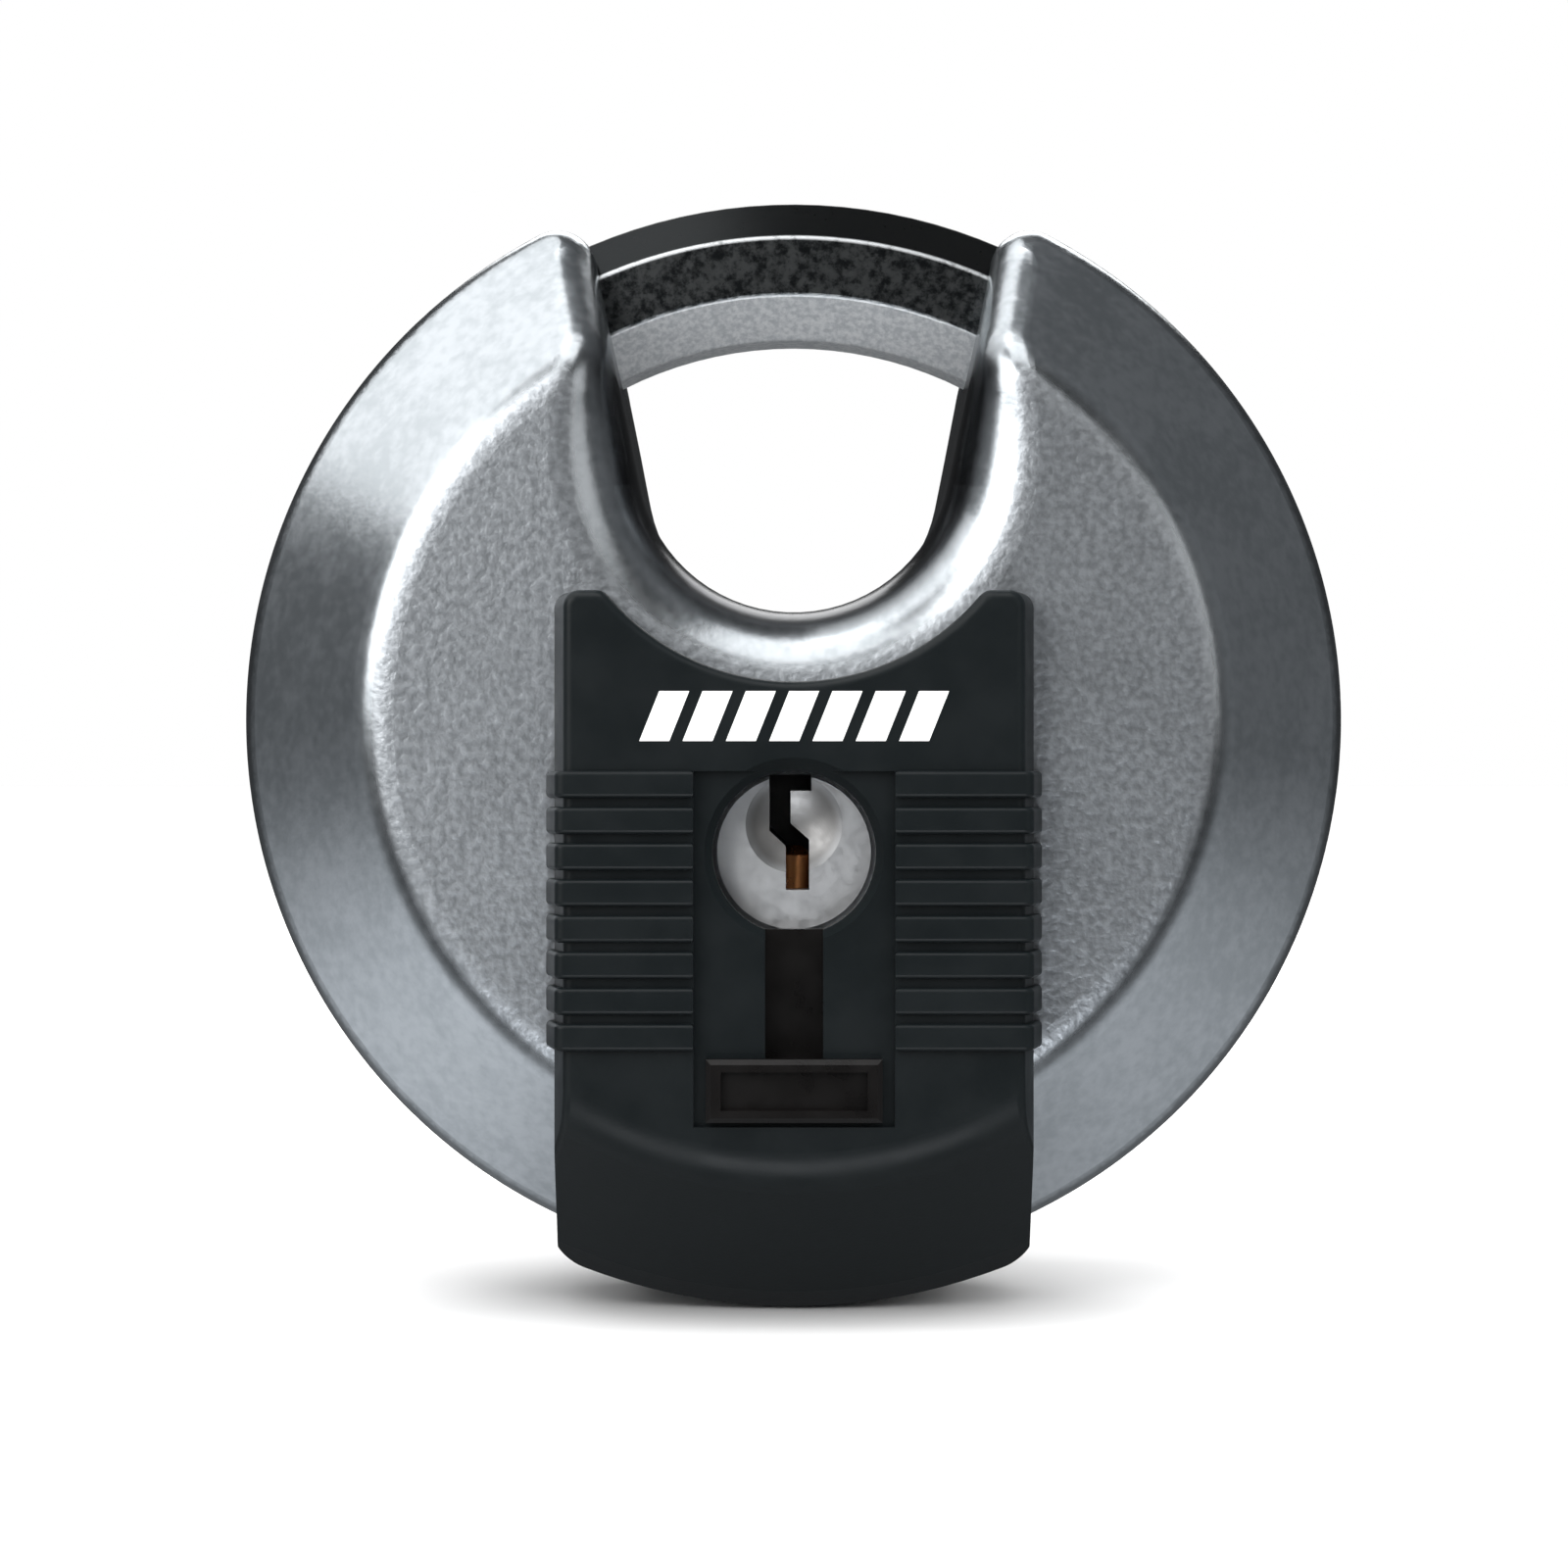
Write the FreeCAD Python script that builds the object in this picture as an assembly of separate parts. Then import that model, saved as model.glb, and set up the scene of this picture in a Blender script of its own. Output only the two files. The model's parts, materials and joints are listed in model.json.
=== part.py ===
import FreeCAD, Part
import math
import os
from FreeCAD import Vector

os.makedirs("parts", exist_ok=True)

# Disc padlock with a rotating octagonal shackle. Millimetres, +Z up, the front faces -Y.
# Everything is drawn about the centre of the disc and moved down at the end, so that the
# origin lies on the middle of the exposed shackle bar, where the lock hangs.

# Pressed stainless body
DISC_R = 35.0
HALF = 13.5
FACE_R = 26.0
RIM_HALF = 5.7
BLEND = 4.0
LIP_TOP = 2.4
LIP_FOOT = 5.2
LIP_INSIDE = 3.8
LIP_LOW_Z = 19.0
LIP_HIGH_Z = 29.0
TIP = 2.5
WALL = 1.5
THROAT_R = 9.85
THROAT_Z = 16.55
FLARE = math.radians(11.5)
BEVEL = math.atan2(HALF - RIM_HALF, DISC_R - FACE_R)
BEAD_R = 34.72
BEAD = 0.35

# Shackle ring, an octagonal bar
RING_R = 29.1
BAR = 8.9
BAR_EDGE = 0.35
RIVET_RING = 28.4
RIVET_R = 1.1
RIVET_ANGLES = (116, 137, 158, 179)
FREE_END = -36.0
TAIL_END = 192.0
OPEN_TURN = 62.0

# Gear drive, in mesh straight below the plug
MODULE = 1.1
PINION_TEETH = 21
SECTOR_TEETH = 36
PRESSURE = math.radians(20.0)
GEAR_Y0 = 4.7
GEAR_Y1 = 7.4
PLUG_Z = -MODULE * (SECTOR_TEETH - PINION_TEETH) / 2.0

# Lock cylinder
PLUG_R = 5.0
PLUG_FRONT = -13.65
HOUSING_Y0 = -11.9
HOUSING_Y1 = 3.3
CHAMBERS = 4
CHAMBER_PITCH = 3.0
CHAMBER_Y = -9.4
TOWER = 12.35
CAP_Y0 = -10.9
CAP_Y1 = 1.1
PIN_R = 1.2
SHEAR_Z = PLUG_Z - 4.55
DISH_R = 4.4
DISH_DEEP = 1.15
DISH_Z = 1.7

# Inner steel core, drilled for screws and dowels
CORE_GAP = 1.65
CORE_R = 32.0
CORE_Y = 8.4
COVER_Y0 = 7.8
COVER_Y1 = 9.9
SCREW_X = 19.0
SCREW_Z = 3.5
DOWEL_X = 15.6
DOWEL_Z = -5.0

# Plastic bumper clipped over the front, foot and back
PAD_Y = 17.0
PAD_HALF = 13.8
PAD_KNEE = 14.6
PAD_KNEE_Y = 14.2
PAD_MID = 15.2
CREASE_R = 27.8
CREASE_ROUND = 3.5
FOOT_R = 37.2
FOOT_ROUND = 3.0
SHOULDER_Z = 7.6
SHOULDER_ARC = 14.7
SHOULDER_ARC_Z = 16.8
PANEL_HALF = 6.05
PANEL_DEEP = 0.45
RIBS = 8
RIB_PITCH = 2.17
RIB_TOP = -3.3
RIB_HIGH = 0.5
RIB_TALL = 1.62
RIB_ROUND = 0.28
BUMPER_GAP = 0.12

# Sliding dust shutter
NECK = 3.2
SLOT = 3.5
BAR_W = 10.6
BAR_H = 3.8
BAR_Z = -22.5
PLATE_W = 11.4
PLATE_Z0 = -26.2
PLATE_Z1 = -12.9
PLATE_Y0 = -14.7
PLATE_Y1 = -13.85
SHUTTER_TRAVEL = 9.9

YAXIS = Vector(0, 1, 0)
DROP = Vector(0, 0, -RING_R)
DOC = FreeCAD.newDocument("rounding")


def save(shape, name):
    """Move a finished piece to the hanging frame and write it."""
    out = shape.copy()
    out.translate(DROP)
    out.exportStep("parts/" + name + ".step")
    print(name, round(shape.Volume, 1), shape.isValid(), len(shape.Solids))


def cyl(r, y0, y1, x=0.0, z=0.0):
    """Round bar along Y."""
    return Part.makeCylinder(r, y1 - y0, Vector(x, y0, z), YAXIS)


def upright(r, z0, z1, x=0.0, y=0.0):
    """Round bar along Z."""
    return Part.makeCylinder(r, z1 - z0, Vector(x, y, z0), Vector(0, 0, 1))


def cone(r0, r1, y0, y1, x=0.0, z=0.0):
    """Tapered round along Y."""
    return Part.makeCone(r0, r1, y1 - y0, Vector(x, y0, z), YAXIS)


def box(x0, x1, y0, y1, z0, z1):
    return Part.makeBox(x1 - x0, y1 - y0, z1 - z0, Vector(x0, y0, z0))


def biggest(shape):
    """The largest solid of a result."""
    return max(shape.Solids, key=lambda s: s.Volume)


def prism(points, y0, y1):
    """Polygon of (x, z) points carried along Y."""
    ring = [Vector(x, y0, z) for x, z in points]
    face = Part.Face(Part.makePolygon(ring + [ring[0]]))
    return face.extrude(Vector(0, y1 - y0, 0))


def plan_point(x, z):
    return Vector(x, 0, z)


def arc(a, b, c):
    return Part.Arc(a, b, c).toShape()


def body_outline(o, tip):
    """Disc with a flared U throat, moved inward by o, horn corners rounded by tip."""
    big = DISC_R - o
    rt = THROAT_R + o
    ca = math.cos(FLARE)
    sa = math.sin(FLARE)
    foot = (rt * ca, THROAT_Z - rt * sa)
    bx = foot[0] + ca * tip
    bz = foot[1] - sa * tip
    along = bx * sa + bz * ca
    t = -along + math.sqrt(along ** 2 - bx ** 2 - bz ** 2 + (big - tip) ** 2)
    cx = bx + sa * t
    cz = bz + ca * t
    wall = (cx - ca * tip, cz + sa * tip)
    rim = (cx * big / (big - tip), cz * big / (big - tip))
    a0 = math.atan2(wall[1] - cz, wall[0] - cx)
    a1 = math.atan2(rim[1] - cz, rim[0] - cx)
    mid = (cx + tip * math.cos((a0 + a1) / 2), cz + tip * math.sin((a0 + a1) / 2))
    edges = [arc(plan_point(*rim), plan_point(0, -big), plan_point(-rim[0], rim[1]))]
    edges.append(arc(plan_point(-rim[0], rim[1]), plan_point(-mid[0], mid[1]), plan_point(-wall[0], wall[1])))
    edges.append(Part.makeLine(plan_point(-wall[0], wall[1]), plan_point(-foot[0], foot[1])))
    edges.append(arc(plan_point(-foot[0], foot[1]), plan_point(0, THROAT_Z - rt), plan_point(*foot)))
    edges.append(Part.makeLine(plan_point(*foot), plan_point(*wall)))
    edges.append(arc(plan_point(*wall), plan_point(*mid), plan_point(*rim)))
    return Part.Wire(Part.__sortEdges__(edges))


def body_lens(o):
    """Turned lens of the body: flat faces, soft shoulder, conical bevel."""
    h = HALF - o
    fr = FACE_R - o * math.tan(BEVEL / 2)
    blend = BLEND - o
    t = blend * math.tan(BEVEL / 2)
    wide = DISC_R + 3
    y_wide = h - (wide - fr) * math.tan(BEVEL)
    edges = []
    ends = []
    for s in (-1, 1):
        a = Vector(fr - t, s * h, 0)
        b = Vector(fr + t * math.cos(BEVEL), s * (h - t * math.sin(BEVEL)), 0)
        m = Vector(fr - t + blend * math.sin(BEVEL / 2), s * (h - blend + blend * math.cos(BEVEL / 2)), 0)
        edges.append(Part.makeLine(Vector(0, s * h, 0), a))
        edges.append(arc(a, m, b))
        edges.append(Part.makeLine(b, Vector(wide, s * y_wide, 0)))
        ends.append(Vector(wide, s * y_wide, 0))
    edges.append(Part.makeLine(ends[0], ends[1]))
    edges.append(Part.makeLine(Vector(0, h, 0), Vector(0, -h, 0)))
    face = Part.Face(Part.Wire(Part.__sortEdges__(edges)))
    return face.revolve(Vector(0, 0, 0), YAXIS, 360)


def body_solid(o, lip_foot):
    """The whole rounded body, moved inward by o, its throat lip rounded by lip_foot before that."""
    tip = TIP - o
    wire = body_outline(o, tip)
    slab = Part.Face(wire).extrude(Vector(0, 60, 0))
    slab.translate(Vector(0, -30, 0))
    solid = body_lens(o).common(slab).Solids[0]
    chosen = []
    for i, e in enumerate(solid.Edges):
        u = (e.FirstParameter + e.LastParameter) / 2
        p = e.valueAt(u)
        if abs(e.tangentAt(u).y) > 0.99 or abs(p.y) < 1:
            continue
        if wire.distToShape(Part.Vertex(Vector(p.x, 0, p.z)))[0] < 1e-3:
            a = lip_radius(e.valueAt(e.FirstParameter), lip_foot) - o
            b = lip_radius(e.valueAt(e.LastParameter), lip_foot) - o
            chosen.append((i + 1, a, b))
    return rounded(solid, chosen)


def lip_radius(p, lip_foot):
    """Rounding of the body's edge: tight round the rim and horns, full along the throat."""
    if math.hypot(p.x, p.z) > DISC_R - 4.5 or p.z < 0:
        return LIP_TOP
    share = (LIP_HIGH_Z - p.z) / (LIP_HIGH_Z - LIP_LOW_Z)
    share = min(max(share, 0.0), 1.0)
    return LIP_TOP + (lip_foot - LIP_TOP) * share


def rounded(solid, chosen):
    """Round edges (number, start radius, end radius) in one go."""
    base = DOC.addObject("Part::Feature", "base")
    base.Shape = solid
    job = DOC.addObject("Part::Fillet", "job")
    job.Base = base
    job.Edges = chosen
    DOC.recompute()
    return biggest(job.Shape)


def octagon(apothem, edge=0.0):
    """Octagon face of the bar, in the XY half plane, its corners rounded by edge."""
    pts = []
    for i in range(8):
        a = math.radians(22.5 + 45 * i)
        r = apothem / math.cos(math.radians(22.5))
        pts.append(Vector(RING_R + r * math.cos(a), r * math.sin(a), 0))
    if edge == 0.0:
        return Part.Face(Part.makePolygon(pts + [pts[0]]))
    cut = edge * math.tan(math.radians(22.5))
    middle = Vector(RING_R, 0, 0)
    edges = []
    for i in range(8):
        here = pts[i]
        back = here + (pts[i - 1] - here).normalize() * cut
        on = here + (pts[(i + 1) % 8] - here).normalize() * cut
        away = (here - middle).normalize()
        crown = here - away * edge * (1 / math.cos(math.radians(22.5)) - 1)
        after = pts[(i + 1) % 8]
        stop = after + (here - after).normalize() * cut
        edges.append(arc(back, crown, on))
        edges.append(Part.makeLine(on, stop))
    return Part.Face(Part.Wire(Part.__sortEdges__(edges)))


def swing(face, a0, a1):
    """Turn a face drawn at +X about the disc's axis, from a0 to a1 clockwise from the top."""
    start = face.copy()
    start.rotate(Vector(0, 0, 0), YAXIS, a0 - 90)
    return start.revolve(Vector(0, 0, 0), YAXIS, a1 - a0)


def ring_bar(apothem, a0, a1, edge=0.0):
    return swing(octagon(apothem, edge), a0, a1)


def ring_plate(r0, r1, y0, y1, a0, a1):
    """Flat arc plate about the disc's axis."""
    pts = [Vector(r0, y0, 0), Vector(r1, y0, 0), Vector(r1, y1, 0), Vector(r0, y1, 0)]
    return swing(Part.Face(Part.makePolygon(pts + [pts[0]])), a0, a1)


def place(r, angle):
    """(x, z) at radius r, clockwise from the top."""
    a = math.radians(angle)
    return r * math.sin(a), r * math.cos(a)


def seam_bead(spare):
    """Weld bead that closes the two shells round the rim."""
    c = Part.Face(Part.Wire(Part.makeCircle(BEAD + spare, Vector(BEAD_R, 0, 0), Vector(0, 0, 1))))
    return swing(c, 38, 322)


def involute(rb, r):
    """Polar angle of an involute at radius r."""
    k = math.sqrt(max((r / rb) ** 2 - 1, 0))
    return k - math.atan(k)


def tooth_half(teeth, r, thin):
    """Half angle of a tooth at radius r, thinned for backlash."""
    rp = MODULE * teeth / 2.0
    rb = rp * math.cos(PRESSURE)
    base = math.pi / (2 * teeth) - thin / rp
    return base + involute(rb, rp) - involute(rb, max(r, rb))


def tooth_prism(teeth, r_root, r_tip, turn, thin):
    """One tooth outline in plan, (x, z) about the gear's own centre."""
    steps = 6
    left = []
    right = []
    for i in range(steps + 1):
        r = r_root + (r_tip - r_root) * i / steps
        h = tooth_half(teeth, r, thin)
        left.append((r * math.sin(turn - h), r * math.cos(turn - h)))
        right.append((r * math.sin(turn + h), r * math.cos(turn + h)))
    return left + right[::-1]


def shift(points, z):
    return [(x, y + z) for x, y in points]


def drive_gear():
    """Spur gear on the plug's tail, with a D bore."""
    rp = MODULE * PINION_TEETH / 2.0
    root = rp - 1.2 * MODULE
    tip = rp + 0.9 * MODULE
    gear = cyl(root + 0.05, GEAR_Y0, GEAR_Y1, 0, PLUG_Z)
    teeth = []
    for i in range(PINION_TEETH):
        turn = math.pi + 2 * math.pi * i / PINION_TEETH
        pts = shift(tooth_prism(PINION_TEETH, root - 0.2, tip, turn, 0.05), PLUG_Z)
        teeth.append(prism(pts, GEAR_Y0, GEAR_Y1))
    gear = gear.multiFuse(teeth)
    gear = gear.cut(tail_shape(3.55, 0.03))
    for i in range(5):
        x, z = place(7.0, 36 + 72 * i)
        gear = gear.cut(cyl(1.5, GEAR_Y0 - 1, GEAR_Y1 + 1, x, z + PLUG_Z))
    return biggest(gear.removeSplitter())


def sector_gear():
    """Internal tooth sector riveted to the back of the shackle's tail."""
    rp = MODULE * SECTOR_TEETH / 2.0
    root = rp + 1.25 * MODULE
    tip = rp - 0.85 * MODULE
    plate = ring_plate(tip, 30.6, GEAR_Y0 - 0.2, GEAR_Y1, 107, 191)
    step = 2 * math.pi / SECTOR_TEETH
    for i in range(-15, 3):
        turn = math.pi + step * i
        pts = tooth_prism(SECTOR_TEETH, tip - 0.4, root, turn, -0.05)
        plate = plate.cut(prism(pts, GEAR_Y0 - 1, GEAR_Y1 + 1))
    for a in RIVET_ANGLES:
        x, z = place(RIVET_RING, a)
        plate = plate.cut(cyl(RIVET_R, GEAR_Y0 - 1, GEAR_Y1 + 1, x, z))
    return biggest(plate)


def sector_rivets():
    """Four rivets through the sector into the bar."""
    out = []
    for a in RIVET_ANGLES:
        x, z = place(RIVET_RING, a)
        out.append(cyl(RIVET_R - 0.02, 0.6, GEAR_Y1 + 0.1, x, z))
    return Part.makeCompound(out)


def shackle():
    """Octagonal ring bar with rivet holes and broken end corners."""
    bar = ring_bar(BAR / 2, FREE_END, TAIL_END, BAR_EDGE)
    for a in RIVET_ANGLES:
        x, z = place(RIVET_RING, a)
        bar = bar.cut(cyl(RIVET_R, 0.5, 6.0, x, z))
    return biggest(bar)


def tail_shape(r, spare):
    """D section of the plug's tail."""
    bar = cyl(r + spare, 3.0, GEAR_Y1 + 0.3, 0, PLUG_Z)
    flat = box(-9, 9, 2, 12, PLUG_Z + 2.6 + spare, PLUG_Z + 9)
    return bar.cut(flat)


def keyway():
    """Stepped key slot through the plug, in plan about its centre."""
    up = [(-1.5, 4.75), (1.07, 4.75), (1.07, 3.75), (-0.2, 3.75), (-0.2, 1.75), (0.93, 0.75), (0.93, -2.3)]
    down = [(-0.5, -2.3), (-0.5, 0.35), (-1.5, 1.3)]
    return shift(up + down, PLUG_Z)


def chamber_ys():
    return [CHAMBER_Y + CHAMBER_PITCH * i for i in range(CHAMBERS)]


def plug():
    """Turning plug: face with dish and keyway, pin chambers, clip groove, tail."""
    body = cyl(PLUG_R, PLUG_FRONT, HOUSING_Y1, 0, PLUG_Z)
    body = body.fuse(cyl(PLUG_R - 0.7, HOUSING_Y1 - 0.1, 3.7, 0, PLUG_Z))
    body = body.fuse(tail_shape(3.5, 0.0)).removeSplitter()
    dish = Part.makeSphere(DISH_R, Vector(0, PLUG_FRONT + DISH_DEEP - DISH_R, PLUG_Z + DISH_Z))
    body = body.cut(dish)
    body = body.cut(prism(keyway(), PLUG_FRONT - 1, 2.6))
    for y in chamber_ys():
        body = body.cut(upright(PIN_R + 0.05, PLUG_Z - 6, PLUG_Z + 0.6, 0, y))
    body = body.cut(cyl(1.15, GEAR_Y1 - 4.5, GEAR_Y1 + 2, 0, PLUG_Z))
    outer = cyl(PLUG_R + 0.5, PLUG_FRONT - 1, PLUG_FRONT + 0.3, 0, PLUG_Z)
    outer = outer.cut(cone(PLUG_R - 0.3, PLUG_R, PLUG_FRONT, PLUG_FRONT + 0.3, 0, PLUG_Z))
    return biggest(body.cut(outer))


def housing_outline(grow):
    """Round barrel with a pin tower below it."""
    barrel = cyl(7.6 + grow, HOUSING_Y0 - grow, HOUSING_Y1 + grow, 0, PLUG_Z)
    low = PLUG_Z - TOWER - grow
    tower = box(-3.4 - grow, 3.4 + grow, -11.2 - grow, HOUSING_Y1 + grow, low, PLUG_Z)
    return barrel.fuse(tower).removeSplitter()


def cylinder_housing():
    body = housing_outline(0.0)
    body = body.cut(cyl(PLUG_R + 0.05, -20, 10, 0, PLUG_Z))
    for y in chamber_ys():
        body = body.cut(upright(PIN_R + 0.05, PLUG_Z - 20, PLUG_Z, 0, y))
    low = PLUG_Z - TOWER
    body = body.cut(box(-2.0, 2.0, CAP_Y0 - 0.05, CAP_Y1 + 0.05, low - 2, low + 0.7))
    return biggest(body)


def pin_cap():
    low = PLUG_Z - TOWER
    return box(-1.97, 1.97, CAP_Y0, CAP_Y1, low, low + 0.68)


def key_pins():
    """Pins held at the shear line, one for each chamber, points up in the keyway."""
    out = []
    for i, y in enumerate(chamber_ys()):
        top = SHEAR_Z + (4.9, 4.2, 4.6, 3.9)[i]
        tip = Part.makeCone(PIN_R, 0.5, 0.6, Vector(0, y, top - 0.6), Vector(0, 0, 1))
        out.append(tip.fuse(upright(PIN_R, SHEAR_Z, top - 0.6, 0, y)).removeSplitter())
    return Part.makeCompound(out)


def driver_pins():
    out = []
    for y in chamber_ys():
        out.append(upright(PIN_R, PLUG_Z - 7.6, PLUG_Z - 5.12, 0, y))
    return Part.makeCompound(out)


def pin_springs():
    """Small coil springs under the driver pins."""
    out = []
    z0 = PLUG_Z - 11.35
    for y in chamber_ys():
        helix = Part.makeHelix(0.85, 3.4, 0.95)
        wire = Part.Wire(Part.makeCircle(0.17, Vector(0.95, 0, 0), Vector(0, 1, 0)))
        coil = Part.Wire(helix).makePipeShell([wire], True, True)
        coil.translate(Vector(0, y, z0))
        out.append(coil)
    return Part.makeCompound(out)


def plug_clip():
    """Open spring ring in the groove behind the housing."""
    clip = cyl(6.0, 3.72, 4.45, 0, PLUG_Z).cut(cyl(3.52, 3, 5, 0, PLUG_Z))
    return biggest(clip.cut(box(-2.2, 2.2, 3, 5, PLUG_Z - 8, PLUG_Z)))


def gear_screw():
    """Screw that holds the gear on the plug's tail."""
    shank = cyl(1.13, 3.2, GEAR_Y1 + 0.4, 0, PLUG_Z)
    head = cyl(3.0, GEAR_Y1 + 0.33, GEAR_Y1 + 1.6, 0, PLUG_Z)
    slot = box(-4, 4, GEAR_Y1 + 1.0, GEAR_Y1 + 3, PLUG_Z - 0.35, PLUG_Z + 0.35)
    return biggest(shank.fuse(head).removeSplitter().cut(slot))


def screw_places():
    return [(-SCREW_X, SCREW_Z), (SCREW_X, SCREW_Z)]


def dowel_places():
    return [(-DOWEL_X, DOWEL_Z), (DOWEL_X, DOWEL_Z)]


def core_screws():
    """Long screws that clamp cover and both core halves."""
    out = []
    for x, z in screw_places():
        shank = cyl(1.48, -7.0, COVER_Y1 - 0.05, x, z)
        head = cyl(2.75, COVER_Y1, COVER_Y1 + 1.6, x, z)
        hexa = cyl(1.2, COVER_Y1 + 0.6, COVER_Y1 + 3, x, z)
        out.append(biggest(shank.fuse(head).fuse(cyl(1.48, COVER_Y1 - 0.1, COVER_Y1 + 0.1, x, z)).cut(hexa)))
    return Part.makeCompound(out)


def core_dowels():
    return Part.makeCompound([cyl(1.25, -6.5, 7.6, x, z) for x, z in dowel_places()])


def drill_holes(shape):
    for x, z in screw_places():
        shape = shape.cut(cyl(1.5, -7.1, 20, x, z))
    for x, z in dowel_places():
        shape = shape.cut(cyl(1.27, -6.6, 7.7, x, z))
    return shape


def bumper_screw_places():
    return [(-9.0, 0.6), (9.0, 0.6)]


def bumper_screws(spare):
    """Countersunk screws through the rear pad into the cover plate; with a spare, the holes for them."""
    out = []
    for x, z in bumper_screw_places():
        shank = cyl(1.2 + spare, 8.6, PAD_Y - 1.0, x, z)
        head = cone(1.2 + spare, 2.5 + spare, PAD_Y - 1.9, PAD_Y - 0.6, x, z)
        crown = PAD_Y - 0.3 if spare == 0 else PAD_Y + 1.0
        top = cyl(2.5 + spare, PAD_Y - 0.61, crown, x, z)
        whole = shank.fuse([head, top]).removeSplitter()
        if spare == 0:
            for k in range(3):
                bar = box(-0.3, 0.3, PAD_Y - 1.3, PAD_Y + 1, -1.5, 1.5)
                bar.rotate(Vector(0, 0, 0), YAXIS, 60 * k)
                bar.translate(Vector(x, 0, z))
                whole = whole.cut(bar)
        out.append(biggest(whole))
    return Part.makeCompound(out)


def core_front(inner, channel):
    """Front half of the hardened core, grooved for the ring."""
    body = inner.common(cyl(CORE_R, -CORE_Y, -0.02))
    body = body.cut(channel).cut(housing_outline(0.08))
    return biggest(drill_holes(body))


def core_rear(inner, channel):
    """Rear half of the core, with pockets for the gears."""
    body = inner.common(cyl(CORE_R, 0.02, COVER_Y0 - 0.05))
    body = body.cut(channel).cut(housing_outline(0.08))
    body = body.cut(ring_plate(18.4, 40, GEAR_Y0 - 0.35, 9, 100, 260))
    body = body.cut(cyl(13.1, GEAR_Y0 - 0.3, 9, 0, PLUG_Z))
    body = body.cut(cyl(6.4, 3, 9, 0, PLUG_Z))
    return biggest(drill_holes(body))


def gear_cover(inner):
    """Flat plate that closes the gear pocket."""
    body = inner.common(cyl(28.5, COVER_Y0, COVER_Y1))
    body = body.cut(cyl(3.8, 5, 12, 0, PLUG_Z))
    body = body.cut(box(-60, 60, 5, 12, 11.0, 60))
    body = body.cut(cyl(THROAT_R + 5.0, 5, 12, 0, THROAT_Z))
    for x, z in bumper_screw_places():
        body = body.cut(cyl(1.2, 5, 12, x, z))
    return biggest(drill_holes(body))


def drill_plate(inner):
    """Hardened plate round the front of the cylinder."""
    body = inner.common(cyl(19.0, -11.3, -CORE_Y - 0.1))
    body = body.cut(cyl(THROAT_R + 3.0, -20, 0, 0, THROAT_Z))
    return biggest(body.cut(housing_outline(0.1)))


def pad_profile(o):
    """Half section of the bumper's outside, turned about the disc's axis."""
    h = PAD_Y - o
    fr = FOOT_R - o
    cr = CREASE_R - 0.4 * o
    slope_y = 7.2
    out = []
    for s in (-1, 1):
        toe = Vector(fr - 1.2, s * (slope_y + 0.8), 0)
        crease = Vector(cr, s * h, 0)
        lean = math.atan2(h - slope_y - 0.8, fr - 1.2 - cr)
        t = CREASE_ROUND * math.tan(lean / 2)
        start = Vector(cr - t, s * h, 0)
        mid = Vector(start.x + CREASE_ROUND * math.sin(lean / 2), 0, 0)
        mid.y = s * (h - CREASE_ROUND * (1 - math.cos(lean / 2)))
        end = crease + (toe - crease).normalize() * t
        heel = Vector(fr, s * (slope_y - 0.9), 0)
        out.append(Part.makeLine(Vector(0, s * h, 0), start))
        out.append(arc(start, mid, end))
        out.append(Part.makeLine(end, toe))
        out.append(Part.makeLine(toe, heel))
    out.append(Part.makeLine(Vector(fr, 0.9 - slope_y, 0), Vector(fr, slope_y - 0.9, 0)))
    out.append(Part.makeLine(Vector(0, -h, 0), Vector(0, h, 0)))
    face = Part.Face(Part.Wire(Part.__sortEdges__(out)))
    return face.revolve(Vector(0, 0, 0), YAXIS, 360)


def pad_sides(o):
    """Drafted side walls: narrow at the pads, wide at the middle."""
    narrow = PAD_HALF - o
    knee = PAD_KNEE - o
    mid = PAD_MID - o
    deep = PAD_Y - o
    half = [(narrow, -deep), (knee, -PAD_KNEE_Y), (mid, 0), (knee, PAD_KNEE_Y), (narrow, deep)]
    pts = [Vector(x, y, -60) for x, y in half]
    pts = pts + [Vector(-x, y, -60) for x, y in half[::-1]]
    face = Part.Face(Part.makePolygon(pts + [pts[0]]))
    block = face.extrude(Vector(0, 0, 60 + SHOULDER_Z - 0.6 * o))
    return block.cut(cyl(SHOULDER_ARC + 0.6 * o, -30, 30, 0, SHOULDER_ARC_Z))


def foot_slab(o):
    """Front view of the bumper: rounded corners where the sides meet the round foot."""
    half = PAD_MID - o
    slab = box(-half, half, -30, 30, -60, 20).common(cyl(FOOT_R - o, -30, 30))
    corners = [e for e in slab.Edges if abs(mid_point(e).x) > half - 0.1 and mid_point(e).z < -20]
    corners = [e for e in corners if abs(e.tangentAt(e.FirstParameter).y) > 0.9]
    return biggest(slab.makeFillet(FOOT_ROUND, corners))


def bumper_block(o):
    block = pad_profile(o).common(pad_sides(o)).common(foot_slab(o))
    return biggest(block)


def round_edges(block):
    """Soften the shoulders and the pad edges."""
    for r, test in ((1.0, shoulder_corner), (0.6, pad_rim)):
        edges = [e for e in block.Edges if test(e)]
        block = biggest(block.makeFillet(r, edges))
    return block


def mid_point(e):
    return e.valueAt((e.FirstParameter + e.LastParameter) / 2)


def shoulder_corner(e):
    p = mid_point(e)
    up = abs(e.tangentAt((e.FirstParameter + e.LastParameter) / 2).y) > 0.9
    return up and p.z > SHOULDER_Z - 1.5


def pad_rim(e):
    p = mid_point(e)
    flat = abs(p.y) > PAD_Y - 0.02 and abs(e.tangentAt(e.FirstParameter).y) < 0.1
    return flat and math.hypot(p.x, p.z) < CREASE_R - 3


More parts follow.
